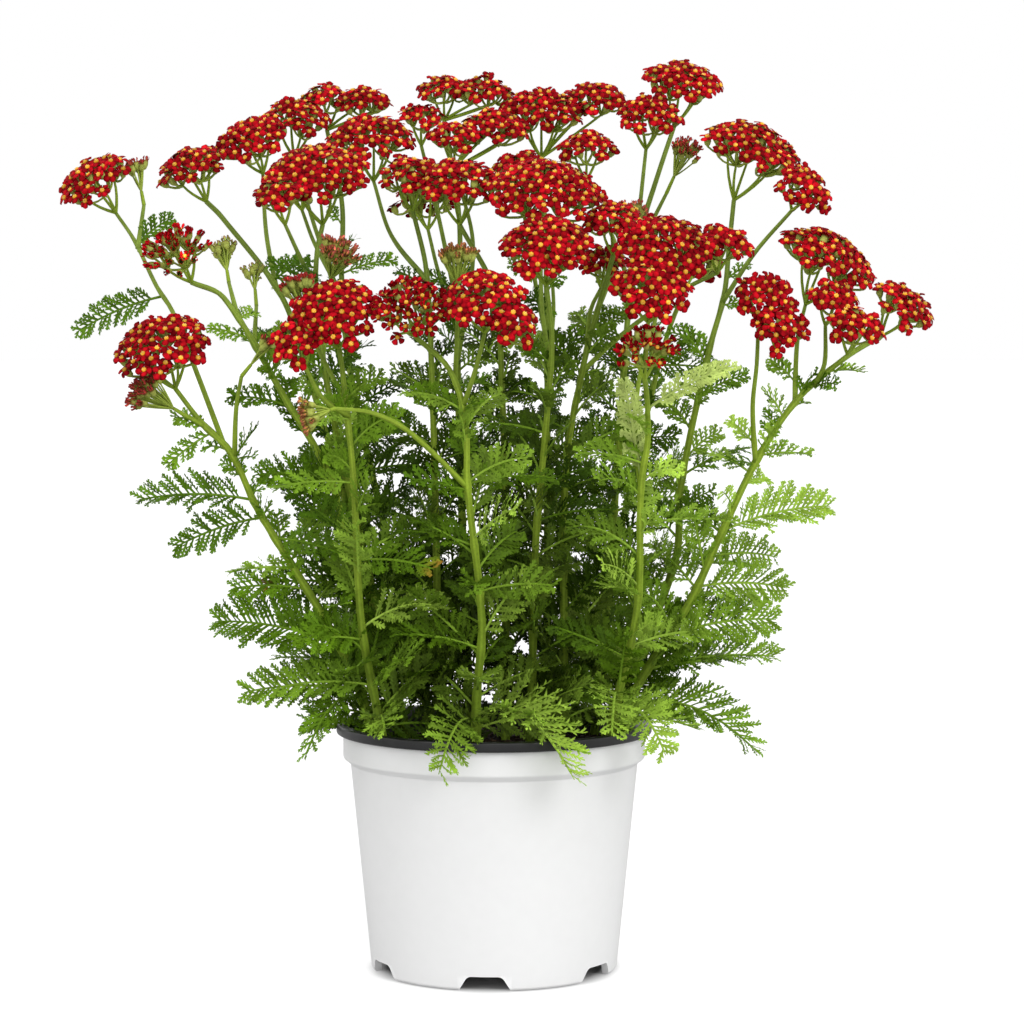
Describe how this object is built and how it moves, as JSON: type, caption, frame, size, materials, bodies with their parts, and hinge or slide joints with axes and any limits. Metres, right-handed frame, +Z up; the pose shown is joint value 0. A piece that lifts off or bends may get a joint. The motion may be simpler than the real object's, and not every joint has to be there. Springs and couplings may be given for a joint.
{
  "type": "potted yarrow plant",
  "caption": "Red yarrow in flower, in its round white nursery pot: feathery leaves on tall branched stems that carry flat clusters of small crimson flowers.",
  "frame": {"origin": "middle of the pot's foot, on the surface that the pot stands on", "axes": "+Z up, +X the plant's right, -Y its front"},
  "size_m": [0.4543, 0.2716, 0.489],
  "materials": {
    "pot_white": "smooth white plastic with a soft shine",
    "pot_black": "smooth black plastic with a soft shine",
    "soil": "loose dark potting mix",
    "petals": "matt velvety petals",
    "foliage": "matt green leaf and stem"
  },
  "bodies": {
    "root": {"pot_shell": "pot_white", "pot_liner": "pot_black", "soil": "soil", "bloom_01": "petals", "bloom_02": "petals", "bloom_03": "petals", "bloom_04": "petals", "bloom_05": "petals", "bloom_06": "petals", "bloom_07": "petals", "bloom_08": "petals", "bloom_09": "petals", "bloom_10": "petals", "bloom_11": "petals", "bloom_12": "petals", "bloom_13": "petals", "bloom_14": "petals", "bloom_15": "petals", "bloom_16": "petals", "bloom_17": "petals", "bloom_18": "petals", "bloom_19": "petals", "bloom_20": "petals", "bloom_21": "petals", "bloom_22": "petals", "bloom_23": "petals", "bloom_24": "petals", "bloom_25": "petals", "bloom_26": "petals", "bloom_27": "petals", "bloom_28": "petals", "bloom_29": "petals", "bloom_30": "petals", "bloom_31": "petals", "bloom_32": "petals", "bloom_33": "petals", "bloom_34": "petals", "bloom_35": "petals", "bloom_36": "petals", "bloom_37": "petals", "bloom_38": "petals", "bloom_39": "petals", "shoot_01": "foliage", "shoot_02": "foliage", "shoot_03": "foliage", "shoot_04": "foliage", "shoot_05": "foliage", "shoot_06": "foliage", "shoot_07": "foliage", "shoot_08": "foliage", "shoot_09": "foliage", "shoot_10": "foliage", "shoot_11": "foliage", "shoot_12": "foliage", "shoot_13": "foliage", "shoot_14": "foliage", "shoot_15": "foliage", "shoot_16": "foliage", "shoot_17": "foliage", "shoot_18": "foliage"}
  },
  "joints": []
}
